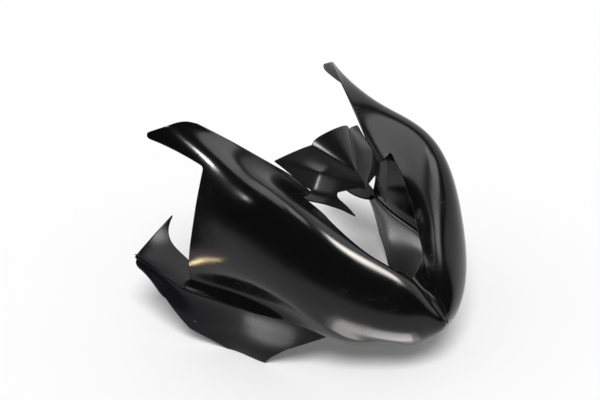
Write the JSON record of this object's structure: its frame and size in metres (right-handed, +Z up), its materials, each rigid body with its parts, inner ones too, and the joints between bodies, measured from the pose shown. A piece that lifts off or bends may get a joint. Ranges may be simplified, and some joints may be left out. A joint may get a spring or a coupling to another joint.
{
  "type": "motorcycle nose fairing",
  "caption": "Gloss black motorcycle nose fairing: domed side panels meeting in a raked nose, swept arms, centre screen base panel with blister, and lower skirts with horns.",
  "frame": {"origin": "middle of the footprint on the floor the fairing stands on", "axes": "+Z up, -Y towards the nose, X across, X = 0 is the mirror plane; the rider's right side is -X"},
  "size_m": [0.6934, 0.6795, 0.5092],
  "materials": {
    "cowl_plastic": "gloss black injection-moulded ABS",
    "panel_plastic": "satin black injection-moulded ABS",
    "lower_plastic": "gloss black injection-moulded ABS",
    "screw_steel": "plain steel button head"
  },
  "bodies": {
    "root": {"nose_cowl": "cowl_plastic", "screen_base_panel": "panel_plastic", "right_lower_panel": "lower_plastic", "left_lower_panel": "lower_plastic", "bridge_screws": "screw_steel"}
  },
  "joints": []
}
